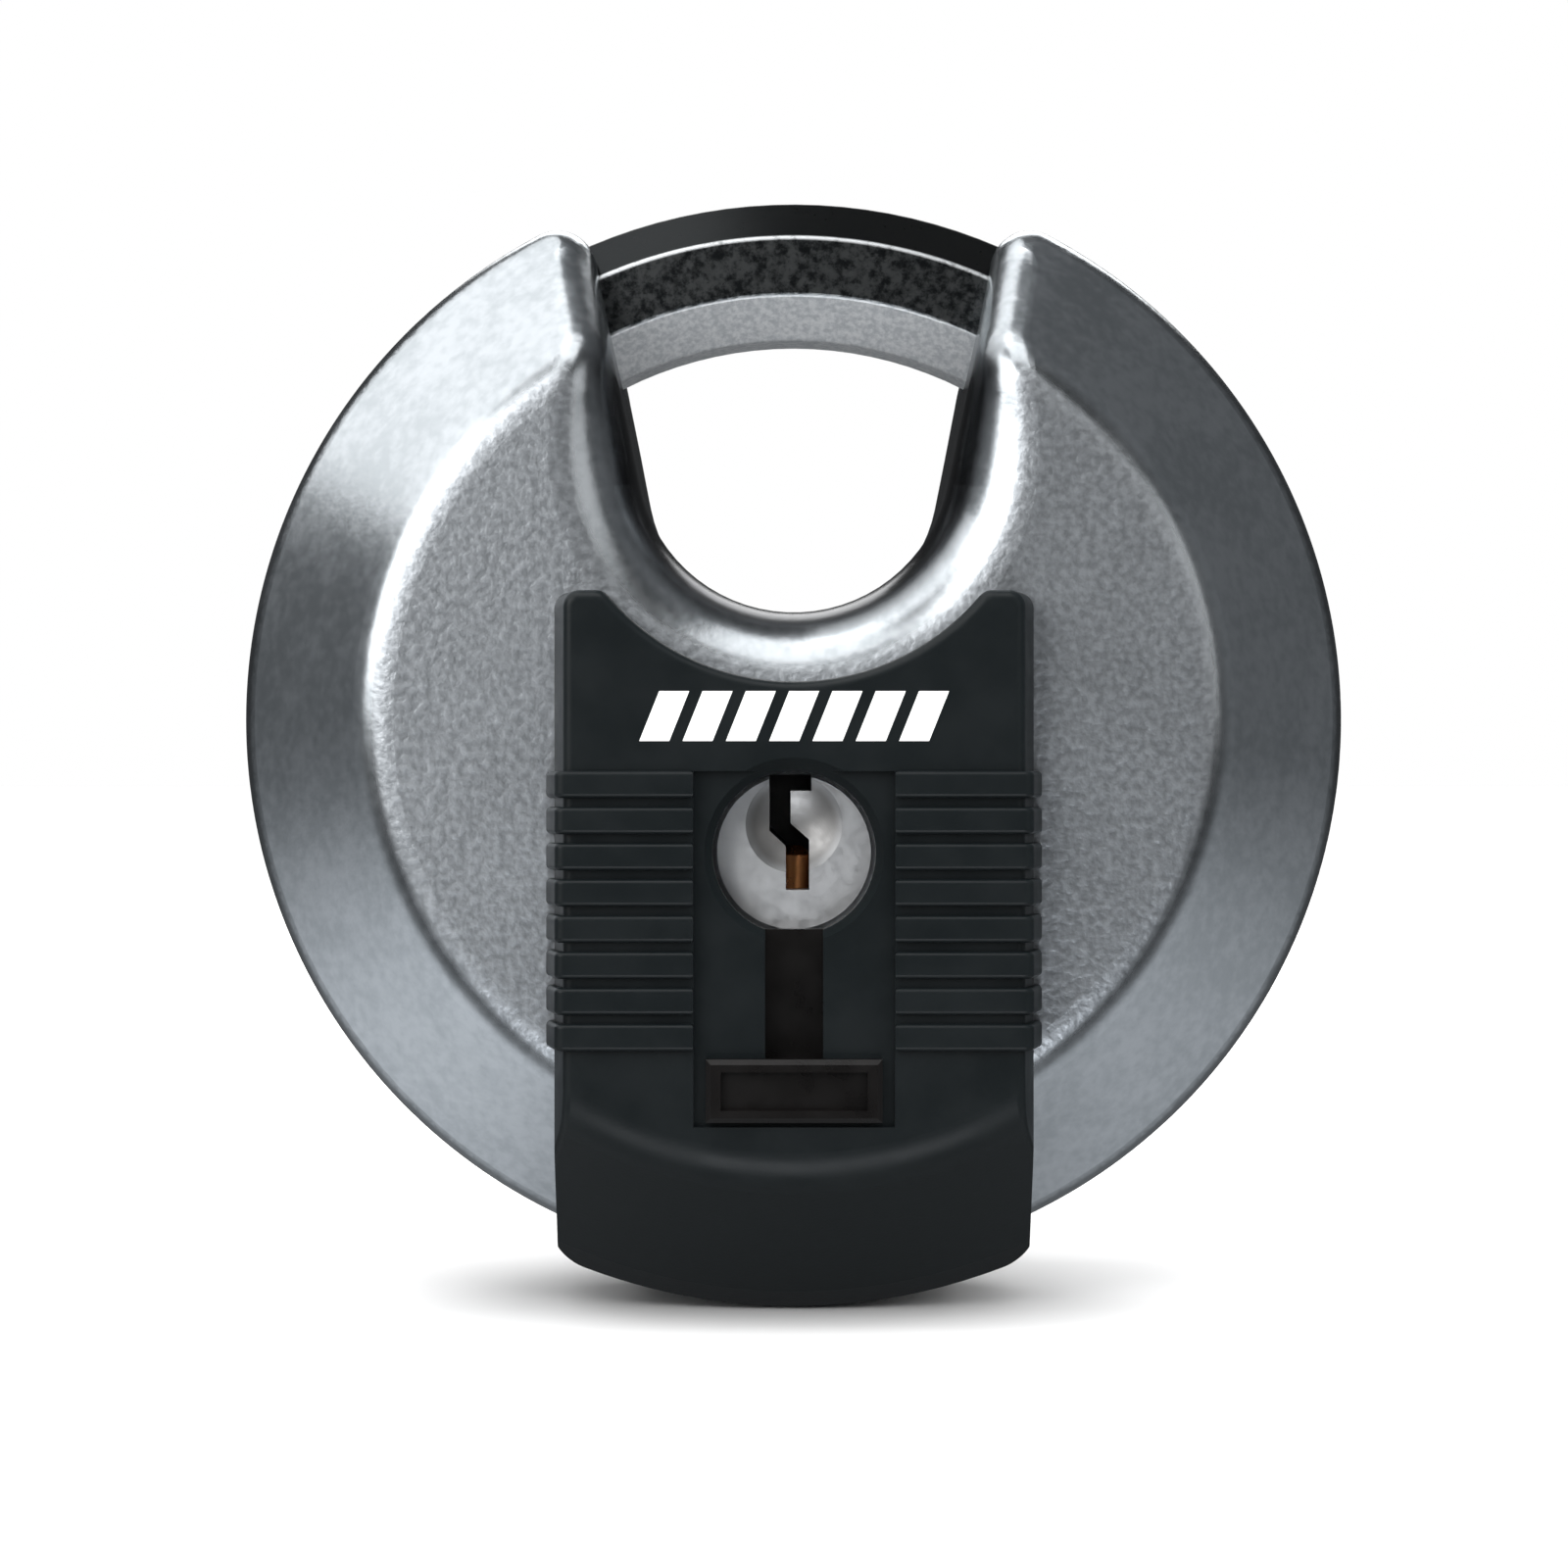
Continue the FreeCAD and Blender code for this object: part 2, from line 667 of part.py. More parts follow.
def soft_rib(piece):
    """Round a rib's long edges."""
    top = piece.BoundBox.ZMax
    low = piece.BoundBox.ZMin
    edges = []
    for e in piece.Edges:
        z = mid_point(e).z
        if (abs(z - top) < 0.001 or abs(z - low) < 0.001) and abs(e.tangentAt(e.FirstParameter).z) < 0.01:
            edges.append(e)
    return piece.makeFillet(RIB_ROUND, edges)


def ribs():
    """Grip ribs that wrap from the pads round the sides."""
    block = round_edges(bumper_block(-RIB_HIGH))
    block = block.cut(box(-PANEL_HALF, PANEL_HALF, -40, 40, -60, 20))
    block = block.cut(box(-40, 40, PAD_Y - 0.02, 40, -60, 20))
    out = []
    for i in range(RIBS):
        z = RIB_TOP - RIB_PITCH * i
        rib = block.common(box(-30, 30, -40, 40, z - RIB_TALL, z))
        for piece in rib.Solids:
            out.append(soft_rib(piece))
    return out


def bumper(hollow):
    body = round_edges(bumper_block(0))
    body = body.multiFuse(ribs()).removeSplitter()
    body = body.cut(hollow)
    for s in (-1, 1):
        y0 = s * PAD_Y - PANEL_DEEP
        panel = box(-PANEL_HALF, PANEL_HALF, y0, y0 + 2 * PANEL_DEEP, -24.7, RIB_TOP)
        body = body.cut(panel)
    body = body.cut(cyl(4.94, -20, -10, 0, PLUG_Z))
    body = body.cut(cone(5.9, 4.94, -PAD_Y - 0.2, -PAD_Y + 1.1, 0, PLUG_Z))
    body = body.cut(box(-SLOT / 2, SLOT / 2, -20, PLATE_Y0, BAR_Z - BAR_H / 2 + 0.1, PLUG_Z - 4.2))
    wide = PLATE_W / 2 + 0.3
    body = body.cut(box(-wide, wide, PLATE_Y0 - 0.25, -10, PLATE_Z0 - 0.1, PLATE_Z1 + SHUTTER_TRAVEL + 0.3))
    body = body.cut(bumper_screws(0.05))
    for pts in mark_outlines():
        body = body.cut(prism(pts, -PAD_Y - 1, -PAD_Y + 0.35))
    return biggest(body)


def mark_outlines():
    """Plain slanted bars in the place of the printed name."""
    out = []
    pitch = 2.6
    for i in range(7):
        x = (i - 3) * pitch
        out.append([(x - 1.5, -1.5), (x + 0.3, -1.5), (x + 1.5, 1.5), (x - 0.3, 1.5)])
    return out


def front_mark():
    return Part.makeCompound([prism(p, -PAD_Y - 0.02, -PAD_Y + 0.34) for p in mark_outlines()])


def dust_shutter():
    """Hidden plate that slides up over the keyhole; it rests pulled down, clear of it."""
    plate = box(-PLATE_W / 2, PLATE_W / 2, PLATE_Y0, PLATE_Y1, PLATE_Z0, PLATE_Z1)
    return biggest(plate)


def shutter_thumb():
    """Moulded thumb bar that runs in front of the panel, with its neck in the slot."""
    face = -PAD_Y + PANEL_DEEP
    half = BAR_H / 2
    neck = box(-NECK / 2, NECK / 2, face - 0.3, PLATE_Y0 - 0.01, BAR_Z - half + 0.2, BAR_Z + half - 0.2)
    bar = box(-BAR_W / 2, BAR_W / 2, face - 1.05, face - 0.1, BAR_Z - half, BAR_Z + half)
    bar = bar.makeChamfer(0.3, [e for e in bar.Edges if mid_point(e).y < face - 1.04])
    dish = box(-BAR_W / 2 + 0.9, BAR_W / 2 - 0.9, -30, face - 0.6, BAR_Z - half + 0.75, BAR_Z + half - 0.75)
    return biggest(neck.fuse(bar).removeSplitter().cut(dish))


def main():
    outer = body_solid(0.0, LIP_FOOT)
    print("outer", outer.isValid(), outer.Volume)
    inner = body_solid(WALL, LIP_INSIDE)
    core_space = body_solid(CORE_GAP, LIP_INSIDE)
    channel = ring_bar(BAR / 2 + 0.15, 0, 360)
    clear = ring_bar(BAR / 2 + 0.3, -60, 264)
    bead = seam_bead(0.0)
    shell = outer.cut(inner).cut(clear).cut(seam_bead(0.01))
    front = shell.cut(box(-60, 60, -0.01, 60, -60, 60))
    rear = shell.cut(box(-60, 60, -60, 0.01, -60, 60))
    front = front.cut(cyl(PLUG_R + 0.25, -20, -5, 0, PLUG_Z))
    rear = rear.cut(bumper_screws(0.1))
    save(biggest(front), "front_shell")
    save(biggest(rear), "rear_shell")
    save(bead, "seam_bead")
    save(core_front(core_space, channel), "core_front")
    save(core_rear(core_space, channel), "core_rear")
    save(gear_cover(core_space), "gear_cover")
    save(drill_plate(core_space), "drill_plate")
    save(core_screws(), "core_screws")
    save(core_dowels(), "core_dowels")
    save(ring_bar(BAR / 2 + 0.13, -42, -36.6), "socket_stop")
    save(ring_bar(BAR / 2 + 0.13, 254.6, 261), "travel_stop")
    save(shackle(), "shackle")
    save(sector_gear(), "sector_gear")
    save(sector_rivets(), "sector_rivets")
    save(plug(), "plug")
    save(key_pins(), "key_pins")
    save(drive_gear(), "drive_gear")
    save(gear_screw(), "gear_screw")
    save(plug_clip(), "plug_clip")
    save(cylinder_housing(), "cylinder_housing")
    save(pin_cap(), "pin_cap")
    save(driver_pins(), "driver_pins")
    save(pin_springs(), "pin_springs")
    save(bumper(body_solid(-BUMPER_GAP, LIP_FOOT)), "bumper")
    save(bumper_screws(0.0), "bumper_screws")
    save(front_mark(), "front_mark")
    save(dust_shutter(), "dust_shutter")
    save(shutter_thumb(), "shutter_thumb")


main()
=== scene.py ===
import bpy
import json
import math
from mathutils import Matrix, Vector


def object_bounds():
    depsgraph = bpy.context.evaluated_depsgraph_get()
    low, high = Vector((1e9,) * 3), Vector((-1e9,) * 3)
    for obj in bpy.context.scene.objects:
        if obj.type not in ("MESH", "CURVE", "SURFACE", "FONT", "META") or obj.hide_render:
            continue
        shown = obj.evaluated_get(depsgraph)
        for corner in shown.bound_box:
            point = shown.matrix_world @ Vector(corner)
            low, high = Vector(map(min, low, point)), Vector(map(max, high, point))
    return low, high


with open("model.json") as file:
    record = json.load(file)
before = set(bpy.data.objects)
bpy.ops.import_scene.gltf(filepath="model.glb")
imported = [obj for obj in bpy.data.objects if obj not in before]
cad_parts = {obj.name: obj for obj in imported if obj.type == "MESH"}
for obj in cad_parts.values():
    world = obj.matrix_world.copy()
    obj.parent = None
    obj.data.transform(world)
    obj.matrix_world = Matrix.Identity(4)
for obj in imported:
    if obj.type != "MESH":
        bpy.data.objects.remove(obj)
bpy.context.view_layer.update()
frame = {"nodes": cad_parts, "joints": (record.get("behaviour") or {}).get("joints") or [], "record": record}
NODES = frame["nodes"]
JOINTS = {joint["name"]: joint for joint in frame["joints"]}
# The frame is in metres.
MM = 0.001

# A point on the disc's axis and one on the key plug's; both run along Y at X 0.
DISC = Vector(JOINTS["shackle_turn"]["pos_m"])
PLUG = Vector(JOINTS["plug_turn"]["pos_m"])

# Camera, seen from the disc's centre.
CAMERA_OFFSET = Vector((-0.61, -205.0, -4.08)) * MM
LENS_MM = 71.9
SENSOR_MM = 36.0
CLIP_START = 0.01

# Throat: a round foot above the disc's axis, with flared walls above it.
THROAT_RADIUS = 9.85 * MM
THROAT_UP = 16.55 * MM
THROAT_FLARE = math.radians(11.5)
THROAT_BLEND = 0.5 * MM

# Shell: where the blasted face begins and is full, by distance from the mid plane.
GRAIN_BEGINS = 13.15 * MM
GRAIN_FULL = 13.47 * MM
# Painted shade on the lower throat wall, by distance from the wall and by height over the throat's foot
# centre.
WALL_SHADE_FULL = 0.7 * MM
WALL_SHADE_GONE = 2.3 * MM
WALL_SHADE_FULL_UP = 4.5 * MM
WALL_SHADE_GONE_UP = 8.0 * MM

# Bar: satin inside the first pair of radii and black outside the second. Its light edge line, partly bare
# metal and partly a painted highlight, is given by its radius, the half widths at which it is full and gone,
# and the Y where it begins.
SATIN_R = (27.15 * MM, 27.35 * MM)
BLACK_R = (30.90 * MM, 31.10 * MM)
WEAR_AND_HIGHLIGHT_R = 30.93 * MM
WEAR_AND_HIGHLIGHT_HALF = (0.09 * MM, 0.21 * MM)
WEAR_AND_HIGHLIGHT_Y = (4.05 * MM, 4.25 * MM)

# Plug: its face, the depths at which the painted shade of the dish begins and is full, and the turned rings.
PLUG_FACE = -13.65 * MM
DISH_SHADE_DEPTH = (0.04 * MM, 0.45 * MM)
RING_PITCH = 0.16 * MM

# Floor.
FLOOR_SIZE = 60.0
FLOOR_GAP = 0.2 * MM
PAPER_ALBEDO = 0.76


def rgb(red, green, blue):
    return (red, green, blue, 1.0)


def grey(value):
    return rgb(value, value, value)


# ---------------------------------------------------------------- camera
def add_camera():
    """Level, looking along +Y."""
    camera = bpy.data.objects.new("camera", bpy.data.cameras.new("camera"))
    bpy.context.scene.collection.objects.link(camera)
    camera.data.lens = LENS_MM
    camera.data.sensor_width = SENSOR_MM
    camera.data.clip_start = CLIP_START
    camera.location = DISC + CAMERA_OFFSET
    camera.rotation_euler = (math.radians(90), 0, 0)
    bpy.context.scene.camera = camera


add_camera()


# ---------------------------------------------------------------- node helpers
class Tree:
    """Short calls for the nodes of a material or of the world."""

    def __init__(self, tree):
        self.tree = tree

    def put(self, value, socket):
        """Link a socket, or set a number or a colour on the input itself."""
        if isinstance(value, bpy.types.NodeSocket):
            self.tree.links.new(value, socket)
        else:
            socket.default_value = value

    def node(self, kind, settings=None, **links):
        """New node; inputs are named with _ for a space, or i0, i1 and so on by place."""
        new = self.tree.nodes.new(kind)
        for key, value in (settings or {}).items():
            setattr(new, key, value)
        for key, value in links.items():
            by_place = key[0] == "i" and key[1:].isdigit()
            self.put(value, new.inputs[int(key[1:]) if by_place else key.replace("_", " ")])
        return new

    def math(self, operation, a, b=0.0, c=0.0):
        return self.node("ShaderNodeMath", {"operation": operation}, i0=a, i1=b, i2=c).outputs[0]

    def ramp(self, value, low, high, a=0.0, b=1.0):
        """Smooth step from a, where value is low, to b, where it is high."""
        return self.node(
            "ShaderNodeMapRange",
            {"interpolation_type": "SMOOTHSTEP"},
            Value=value,
            From_Min=low,
            From_Max=high,
            To_Min=a,
            To_Max=b,
        ).outputs[0]

    def length(self, a, b):
        """Length of the vector (a, b)."""
        squares = self.math("ADD", self.math("MULTIPLY", a, a), self.math("MULTIPLY", b, b))
        return self.math("SQRT", squares)


class Material(Tree):
    """A material with a Principled surface, drawn in the object's own coordinates."""

    def __init__(self, name, **surface):
        self.material = bpy.data.materials.new(name)
        self.material.use_nodes = True
        super().__init__(self.material.node_tree)
        self.bsdf = self.tree.nodes["Principled BSDF"]
        for key, value in surface.items():
            self.bsdf.inputs[key.replace("_", " ")].default_value = value
        self.pos = self.tree.nodes.new("ShaderNodeTexCoord").outputs["Object"]

    def xyz(self):
        return self.node("ShaderNodeSeparateXYZ", Vector=self.pos).outputs

    def noise(self, scale, detail, rough, vector=None):
        """Fractal noise with about scale features to the metre."""
        return self.node(
            "ShaderNodeTexNoise",
            Vector=vector or self.pos,
            Scale=scale,
            Detail=detail,
            Roughness=rough,
        ).outputs["Fac"]

    def stretch(self, x, y, z):
        mapping = self.node("ShaderNodeMapping", Vector=self.pos)
        mapping.inputs["Scale"].default_value = (x, y, z)
        return mapping.outputs[0]

    def mix(self, amount, a, b):
        """Colour a where amount is 0 and b where it is 1."""
        return self.node("ShaderNodeMix", {"data_type": "RGBA"}, i0=amount, i6=a, i7=b).outputs[2]

    def bump(self, height, strength, distance):
        return self.node("ShaderNodeBump", Height=height, Strength=strength, Distance=distance).outputs[0]

    def finish(self, color, roughness=None, normal=None):
        for name, value in (("Base Color", color), ("Roughness", roughness), ("Normal", normal)):
            if value is not None:
                self.put(value, self.bsdf.inputs[name])
        return self.material


def from_axis(mat, axis):
    """Distance from an axis along Y, and the signed place along it."""
    x, y, z = mat.xyz()
    return mat.length(x, mat.math("SUBTRACT", z, axis.z)), y


def over_throat(mat):
    """Height over the centre of the throat's round foot."""
    return mat.math("SUBTRACT", mat.xyz()[2], DISC.z + THROAT_UP)


def from_throat(mat):
    """Distance outwards from the throat's wall: round at the foot, flared above."""
    x = mat.xyz()[0]
    side = mat.math("ABSOLUTE", x)
    up = over_throat(mat)
    round_foot = mat.length(x, up)
    lean = mat.math("MULTIPLY", up, math.sin(THROAT_FLARE))
    flared = mat.math("SUBTRACT", mat.math("MULTIPLY", side, math.cos(THROAT_FLARE)), lean)
    past_foot = mat.math("MULTIPLY_ADD", side, math.tan(THROAT_FLARE), up)
    above = mat.ramp(past_foot, -THROAT_BLEND, THROAT_BLEND)
    gap = mat.math("SUBTRACT", flared, round_foot)
    return mat.math("SUBTRACT", mat.math("MULTIPLY_ADD", gap, above, round_foot), THROAT_RADIUS)


# ---------------------------------------------------------------- materials
def shell_steel():
    """Stainless pressing: bead-blasted flat face, satin bevel and lip, and painted shade darkening the lower
    throat wall.
    """
    mat = Material("shell_steel", Metallic=1.0)
    y = from_axis(mat, DISC)[1]
    flat = mat.ramp(mat.math("ABSOLUTE", y), GRAIN_BEGINS, GRAIN_FULL)
    # Painted shade: the throat wall is darkened near the wall and low down.
    low_part = mat.ramp(over_throat(mat), WALL_SHADE_GONE_UP, WALL_SHADE_FULL_UP)
    wall = mat.math("MULTIPLY", mat.ramp(from_throat(mat), WALL_SHADE_GONE, WALL_SHADE_FULL), low_part)
    grain = mat.noise(2000.0, 2.0, 0.5)
    blotch = mat.noise(1350.0, 2.0, 0.5)
    cloud = mat.noise(170.0, 4.0, 0.6)
    height = mat.math("ADD", mat.math("MULTIPLY", grain, 0.8), mat.math("MULTIPLY", blotch, 0.4))
    depth = mat.ramp(flat, 0.0, 1.0, 0.16, 1.0)
    grained = mat.math("MULTIPLY", height, depth)
    blasted = mat.mix(mat.ramp(grain, 0.25, 0.75), rgb(0.42, 0.445, 0.47), rgb(0.68, 0.715, 0.75))
    wash = mat.math("ADD", mat.math("MULTIPLY", cloud, 0.6), mat.math("MULTIPLY", blotch, 0.4))
    satin = mat.mix(mat.ramp(wash, 0.35, 0.65), rgb(0.41, 0.44, 0.46), rgb(0.52, 0.55, 0.575))
    # The near-black colour is the painted shade on the throat wall.
    color = mat.mix(wall, mat.mix(flat, satin, blasted), rgb(0.062, 0.064, 0.067))
    rough = mat.math("ADD", mat.ramp(flat, 0.0, 1.0, 0.18, 0.38), mat.math("MULTIPLY", wash, 0.13))
    return mat.finish(color, rough, mat.bump(grained, strength=1.0, distance=0.047 * MM))


def bar_steel():
    """Hardened bar: black outside, mottled front, grainy satin round the opening, and one edge lightened,
    partly bare metal and partly a painted highlight.
    """
    mat = Material("bar_steel", Metallic=1.0)
    r, y = from_axis(mat, DISC)
    inner = mat.ramp(r, SATIN_R[1], SATIN_R[0])
    outer = mat.ramp(r, *BLACK_R)
    fine = mat.noise(2600.0, 3.0, 0.6)
    wide = mat.noise(1500.0, 4.0, 0.65)
    # Light line along the front facet's outer edge: partly bare metal, partly a painted highlight.
    off_edge = mat.math("ABSOLUTE", mat.math("SUBTRACT", r, WEAR_AND_HIGHLIGHT_R))
    wear_and_highlight = mat.ramp(off_edge, WEAR_AND_HIGHLIGHT_HALF[1], WEAR_AND_HIGHLIGHT_HALF[0])
    wear_and_highlight = mat.math("MULTIPLY", wear_and_highlight, mat.ramp(mat.math("ABSOLUTE", y), *WEAR_AND_HIGHLIGHT_Y))
    wear_and_highlight = mat.math("MULTIPLY", wear_and_highlight, mat.ramp(wide, 0.25, 0.5, 0.35, 1.0))
    mottled = mat.mix(mat.ramp(wide, 0.35, 0.65), rgb(0.050, 0.056, 0.060), rgb(0.30, 0.315, 0.32))
    satin = mat.mix(mat.ramp(fine, 0.3, 0.7), rgb(0.52, 0.55, 0.58), rgb(0.76, 0.78, 0.80))
    color = mat.mix(inner, mat.mix(outer, mottled, rgb(0.015, 0.017, 0.018)), satin)
    # Lighten that edge: painted highlight over bare metal.
    color = mat.mix(wear_and_highlight, color, rgb(0.68, 0.70, 0.71))
    rough = mat.math("ADD", mat.ramp(inner, 0.0, 1.0, 0.25, 0.50), mat.math("MULTIPLY", fine, 0.08))
    rough = mat.math("ADD", rough, mat.math("MULTIPLY", wear_and_highlight, 0.16))
    mat.put(mat.ramp(inner, 0.0, 1.0, 1.0, 0.55), mat.bsdf.inputs["Metallic"])
    height = mat.math("MULTIPLY", fine, mat.ramp(inner, 0.0, 1.0, 0.15, 1.0))
    return mat.finish(color, rough, mat.bump(height, strength=0.5, distance=0.03 * MM))


def drawn_steel(name, base, rough):
    """Plain machined steel with streaks across Y."""
    mat = Material(name, Metallic=1.0)
    tone = mat.noise(700.0, 3.0, 0.6)
    streaks = mat.noise(40.0, 4.0, 0.6, mat.stretch(1, 60, 1))
    low = rgb(*(0.8 * channel for channel in base))
    high = rgb(*(1.15 * channel for channel in base))
    uneven = mat.ramp(streaks, 0.3, 0.7, rough - 0.06, rough + 0.08)
    bump = mat.bump(streaks, strength=0.2, distance=0.02 * MM)
    return mat.finish(mat.mix(tone, low, high), uneven, bump)


def plug_metal():
    """Satin nickel face with faint turned rings about the plug's axis, and painted shade darkening the dish.
    """
    mat = Material("plug_metal", Metallic=1.0)
    r, y = from_axis(mat, PLUG)
    rings = mat.math("SINE", mat.math("MULTIPLY", r, 2 * math.pi / RING_PITCH))
    tone = mat.noise(1800.0, 2.0, 0.6)
    height = mat.math("ADD", mat.math("MULTIPLY", rings, 0.2), tone)
    color = mat.mix(tone, rgb(0.72, 0.73, 0.74), rgb(0.84, 0.85, 0.86))
    # Painted shade: the dish is darkened below the face.
    painted_dish_shade = mat.ramp(y, PLUG_FACE + DISH_SHADE_DEPTH[0], PLUG_FACE + DISH_SHADE_DEPTH[1])
    color = mat.mix(painted_dish_shade, color, rgb(0.46, 0.455, 0.45))
    rough = mat.ramp(tone, 0.3, 0.7, 0.46, 0.56)
    return mat.finish(color, rough, mat.bump(height, strength=0.2, distance=0.015 * MM))


def brass():
    """Reddish brass of the cylinder and its pins."""
    mat = Material("brass", Metallic=1.0)
    tone = mat.noise(900.0, 3.0, 0.6)
    color = mat.mix(tone, rgb(0.56, 0.20, 0.075), rgb(0.80, 0.38, 0.15))
    rough = mat.ramp(tone, 0.3, 0.7, 0.24, 0.40)
    return mat.finish(color, rough, mat.bump(tone, strength=0.15, distance=0.02 * MM))


def black_plastic():
    """Moulded charcoal plastic with a fine spark-eroded texture."""
    mat = Material("black_plastic", Metallic=0.0, Specular_IOR_Level=0.20)
    fine = mat.noise(5200.0, 2.0, 0.6)
    wide = mat.noise(260.0, 3.0, 0.55)
    color = mat.mix(wide, rgb(0.0036, 0.0053, 0.0060), rgb(0.0064, 0.0088, 0.0098))
    rough = mat.ramp(wide, 0.3, 0.7, 0.35, 0.44)
    return mat.finish(color, rough, mat.bump(fine, strength=0.30, distance=0.02 * MM))


def cover_plastic_and_slot_shade():
    """Darker, glossier plastic of the sliding cover, smoothed by the thumb. The darker tone is partly its
    own and partly painted shade for the slot it shows through.
    """
    mat = Material("cover_plastic_and_slot_shade", Metallic=0.0, Specular_IOR_Level=0.34)
    fine = mat.noise(4200.0, 2.0, 0.6)
    wide = mat.noise(420.0, 3.0, 0.55)
    # Darker than the bumper: partly the cover's own warm black, partly painted shade where the cover shows
    # in its slot.
    color = mat.mix(wide, rgb(0.0030, 0.0027, 0.0026), rgb(0.0060, 0.0052, 0.0050))
    rough = mat.ramp(wide, 0.3, 0.7, 0.26, 0.34)
    return mat.finish(color, rough, mat.bump(fine, strength=0.15, distance=0.015 * MM))


def white_ink():
    """Printed white of the graphic on the bumper."""
    mat = Material("white_ink", Metallic=0.0)
    tone = mat.noise(1500.0, 3.0, 0.6)
    color = mat.mix(tone, rgb(0.84, 0.84, 0.82), rgb(0.92, 0.92, 0.90))
    rough = mat.ramp(tone, 0.3, 0.7, 0.40, 0.55)
    return mat.finish(color, rough, mat.bump(tone, strength=0.10, distance=0.01 * MM))


MATERIALS = {
    "shell_steel": shell_steel(),
    "bar_steel": bar_steel(),
    "core_steel": drawn_steel("core_steel", (0.30, 0.30, 0.31), 0.38),
    "gear_steel": drawn_steel("gear_steel", (0.40, 0.39, 0.37), 0.32),
    "bright_steel": drawn_steel("bright_steel", (0.66, 0.66, 0.65), 0.26),
    "spring_steel": drawn_steel("spring_steel", (0.55, 0.55, 0.55), 0.25),
    "plug_metal": plug_metal(),
    "brass": brass(),
    "black_plastic": black_plastic(),
    "white_ink": white_ink(),
}
for part in frame["record"]["subparts"]:
    NODES[part["node"]].data.materials.clear()
    NODES[part["node"]].data.materials.append(MATERIALS[part["material_slot"]])
cover_and_slot_shade = cover_plastic_and_slot_shade()
# The sliding cover gets the darker plastic, partly as painted shade in its slot.
for name in ("dust_shutter", "shutter_thumb"):
    NODES[name].data.materials[0] = cover_and_slot_shade


# ---------------------------------------------------------------- floor
def paper():
    """Matt pale paper, very slightly uneven."""
    mat = Material("paper", Roughness=0.9, Specular_IOR_Level=0.2)
    tone = mat.noise(3.0, 2.0, 0.5)
    return mat.finish(mat.mix(tone, grey(0.985 * PAPER_ALBEDO), grey(PAPER_ALBEDO)))


def add_floor():
    """A wide floor just under the object. Polished steel doesn't mirror it."""
    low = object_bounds()[0][2]
    half = FLOOR_SIZE / 2
    corners = [(-half, -half, 0), (half, -half, 0), (half, half, 0), (-half, half, 0)]
    mesh = bpy.data.meshes.new("floor")
    mesh.from_pydata(corners, [], [(0, 1, 2, 3)])
    mesh.materials.append(paper())
    floor = bpy.data.objects.new("floor", mesh)
    floor.location = (0, 0, low - FLOOR_GAP)
    bpy.context.scene.collection.objects.link(floor)
    floor.visible_glossy = False


add_floor()


# ---------------------------------------------------------------- lights
def heading(azimuth, elevation):
    """Unit vector: azimuth 0 is towards the viewer, + is to the right; elevation is up."""
    turn = math.radians(azimuth)
    lift = math.radians(elevation)
    level = math.cos(lift)
    return Vector((math.sin(turn) * level, -math.cos(turn) * level, math.sin(lift)))


def add_lamp(name, data, azimuth, elevation, distance=0.0):
    """Put a light in that direction from the disc, facing the disc."""
    way = heading(azimuth, elevation)
    lamp = bpy.data.objects.new(name, data)
    lamp.location = DISC + distance * way
    lamp.rotation_euler = (-way).to_track_quat("-Z", "Y").to_euler()
    bpy.context.scene.collection.objects.link(lamp)
    return lamp


def softbox(name, azimuth, elevation, distance, size, radiance):
    """Rectangular soft light; radiance is its own brightness."""
    data = bpy.data.lights.new(name, "AREA")
    data.shape = "RECTANGLE"
    data.size, data.size_y = size
    data.energy = radiance * math.pi * size[0] * size[1]
    add_lamp(name, data, azimuth, elevation, distance)


def skylight(azimuth, elevation, spread, power):
    """Broad even light for the paper and the plastic; polished steel doesn't mirror it."""
    data = bpy.data.lights.new("skylight", "SUN")
    data.angle = math.radians(spread)
    data.energy = power
    add_lamp("skylight", data, azimuth, elevation).visible_glossy = False


# Azimuth and elevation in degrees, distance and size in metres, radiance.
softbox("key", -82, 56, 0.60, (0.50, 0.66), 1.65)
softbox("side", -42, 20, 0.70, (0.48, 0.42), 3.7)
softbox("brow", -2, 60, 0.70, (0.50, 0.50), 2.0)
softbox("fill", 40, 14, 0.90, (0.44, 0.44), 0.85)
softbox("rear", 176, 44, 0.90, (0.80, 0.44), 3.2)
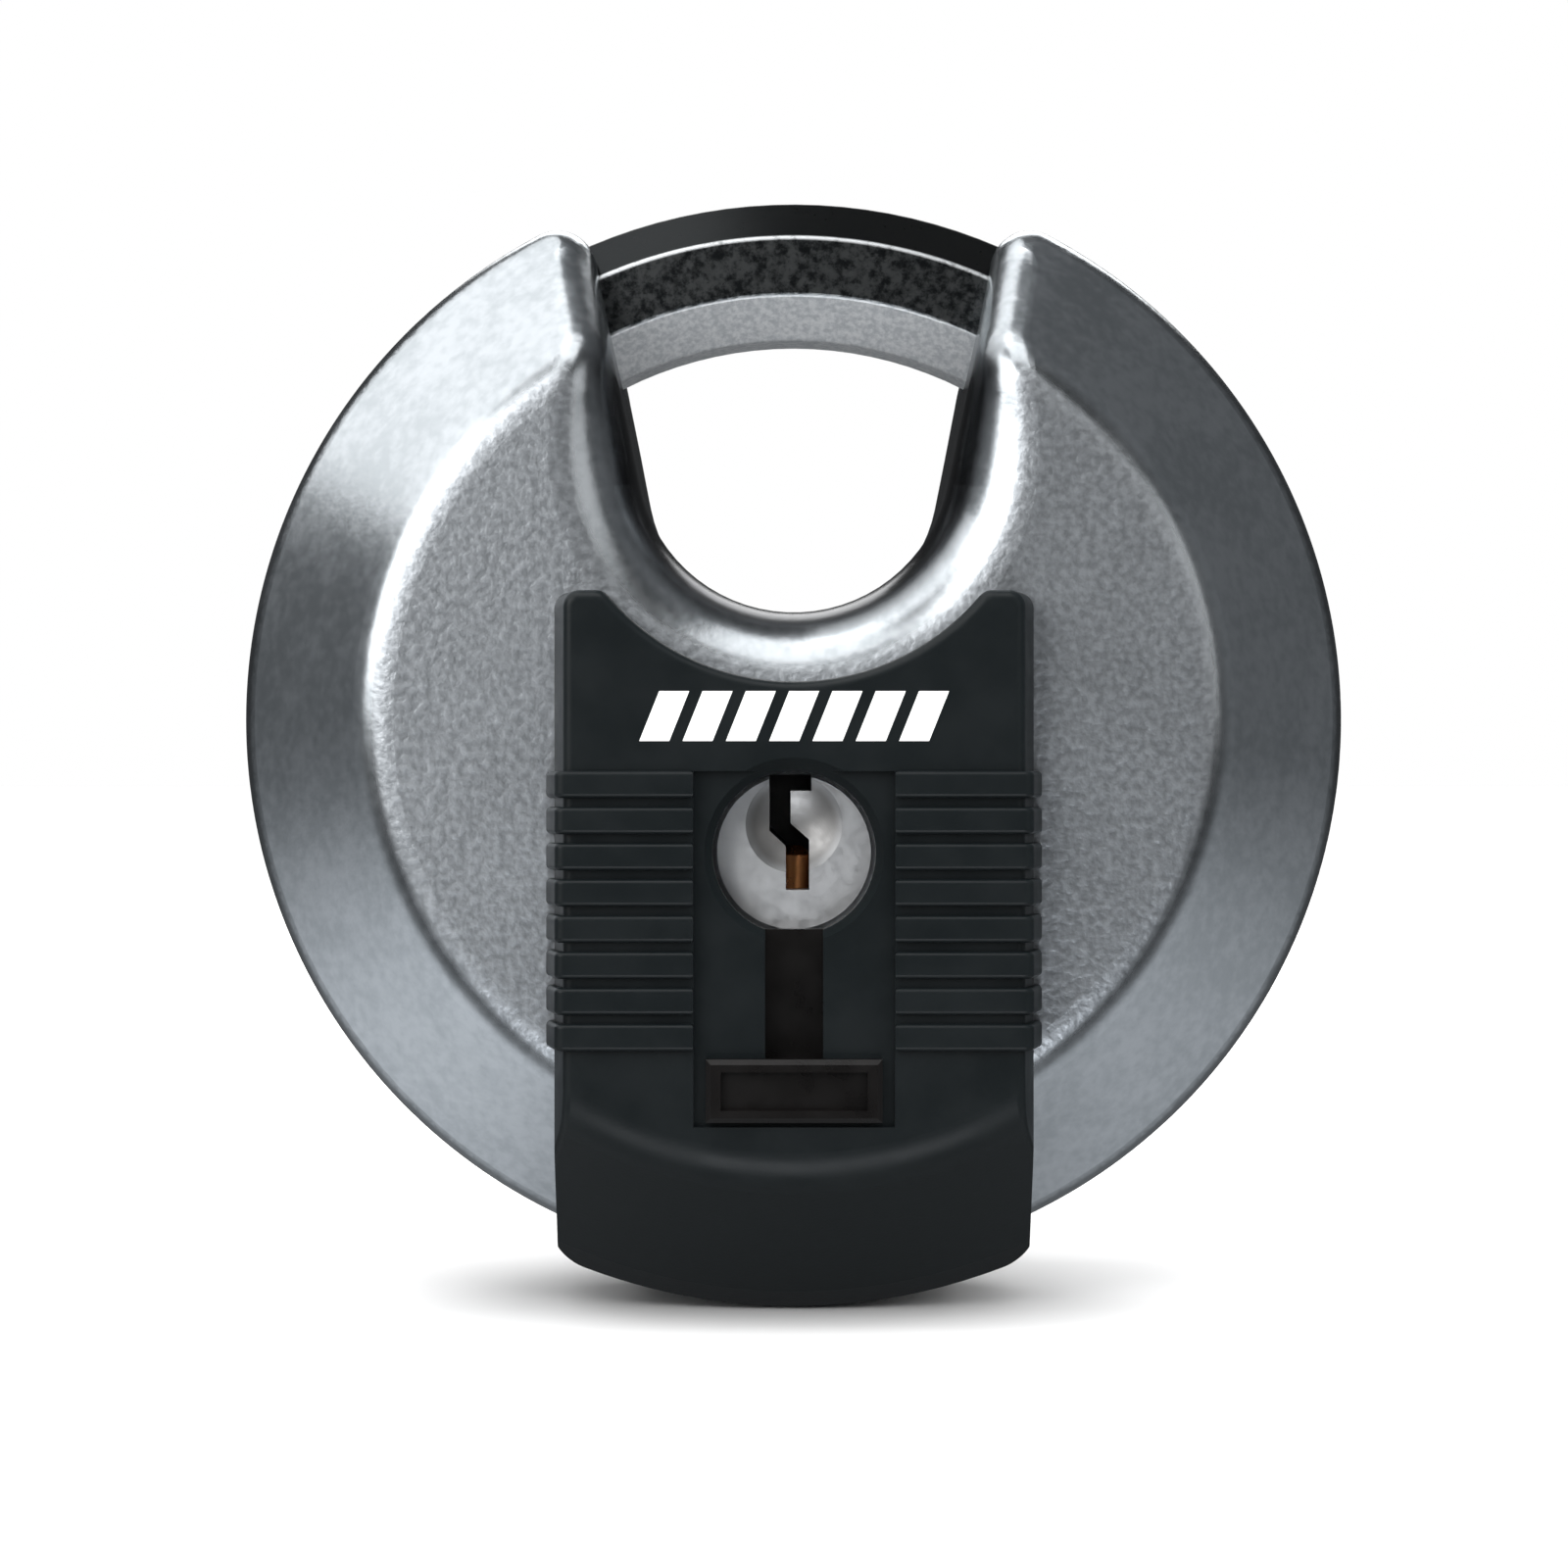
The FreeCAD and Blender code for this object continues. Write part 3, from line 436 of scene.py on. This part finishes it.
# Azimuth, elevation and spread in degrees, watts to the square metre.
skylight(50, 66, 110, 4.9)


def room_light(world, x, y, z):
    """Brightness of the room by direction: x to the right, y away from the viewer, z up."""
    dim_room = 0.19
    below = world.ramp(z, -0.02, -0.60, 0.0, 0.57)
    straight_down = world.ramp(z, -0.72, -1.0, 1.0, 0.45)
    left_to_right = world.ramp(x, -0.9, 0.9, 1.45, 0.85)
    behind = world.ramp(y, -0.1, 0.5, 1.0, 0.25)
    round_viewer = world.ramp(y, -0.22, -0.62, 1.0, 0.15)
    glow = world.math("MULTIPLY", world.math("MULTIPLY", below, straight_down), left_to_right)
    light = world.math("MULTIPLY", world.math("ADD", glow, dim_room), behind)
    light = world.math("MULTIPLY", light, round_viewer)
    return world.math("ADD", light, table_front(world, x, y, z))


def table_front(world, x, y, z):
    """The bright table edge in front of the object and below it."""
    ahead = world.ramp(y, -0.60, -0.78, 0.0, 5.5)
    low = world.ramp(z, -0.36, -0.52, 0.0, 1.0)
    near_middle = world.ramp(world.math("ABSOLUTE", x), 0.20, 0.40, 1.0, 0.0)
    return world.math("MULTIPLY", world.math("MULTIPLY", ahead, low), near_middle)


def add_world():
    """The room lights the object; the camera itself sees a white backdrop."""
    studio = bpy.data.worlds.new("studio")
    bpy.context.scene.world = studio
    studio.use_nodes = True
    world = Tree(studio.node_tree)
    way = world.node("ShaderNodeTexCoord").outputs["Generated"]
    room = world.tree.nodes["Background"]
    room.inputs[0].default_value = rgb(0.93, 0.96, 1.0)
    world.put(room_light(world, *world.node("ShaderNodeSeparateXYZ", i0=way).outputs), room.inputs[1])
    backdrop = world.node("ShaderNodeBackground", i0=rgb(1.0, 1.0, 1.0))
    seen = world.node("ShaderNodeLightPath").outputs["Is Camera Ray"]
    mix = world.node("ShaderNodeMixShader", i0=seen, i1=room.outputs[0], i2=backdrop.outputs[0])
    world.put(mix.outputs[0], world.tree.nodes["World Output"].inputs[0])


add_world()
bpy.context.scene.view_settings.view_transform = "Standard"
